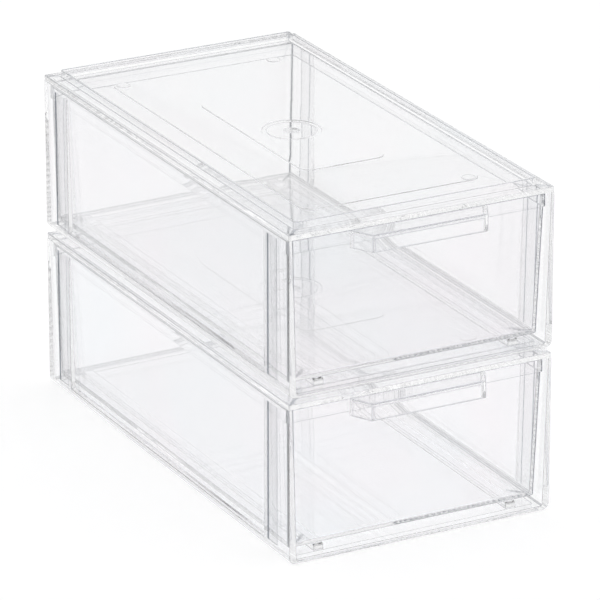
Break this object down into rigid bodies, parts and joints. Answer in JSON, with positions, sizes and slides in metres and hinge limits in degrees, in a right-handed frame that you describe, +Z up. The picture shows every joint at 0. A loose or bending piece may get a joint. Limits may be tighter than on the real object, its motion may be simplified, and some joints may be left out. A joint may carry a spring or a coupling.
{
  "type": "stackable shoe drawer box",
  "caption": "Stack of clear plastic boxes with a raised stacking rim, each with a tapered pull-out shoe drawer that slides out of the front by a ledge handle.",
  "frame": {"origin": "middle of the stack's outline, handles included, on the surface it stands on", "axes": "+Z is up, the drawers open towards -Y, and +X is to the right when facing the drawers"},
  "size_m": [0.212, 0.401, 0.253],
  "materials": {
    "housing_plastic": "clear polished",
    "cover_plastic": "clear polished",
    "drawer_plastic": "clear polished",
    "handle_plastic": "clear polished"
  },
  "bodies": {
    "lower_box": {"lower_housing": "housing_plastic", "lower_top_cover": "cover_plastic"},
    "lower_drawer_set": {"lower_drawer": "drawer_plastic", "lower_handle": "handle_plastic"},
    "upper_box": {"upper_housing": "housing_plastic", "upper_top_cover": "cover_plastic"},
    "upper_drawer_set": {"upper_drawer": "drawer_plastic", "upper_handle": "handle_plastic"}
  },
  "joints": [
    {"name": "lower_drawer_slide", "type": "slide", "parent": "lower_box", "child": "lower_drawer_set", "axis": [0, -1, 0], "range_m": [0, 0.3]},
    {"name": "upper_drawer_slide", "type": "slide", "parent": "upper_box", "child": "upper_drawer_set", "axis": [0, -1, 0], "range_m": [0, 0.3]},
    {"name": "upper_box_lift", "type": "slide", "parent": "lower_box", "child": "upper_box", "axis": [0, 0, 1], "range_m": [0, 0.15]}
  ]
}
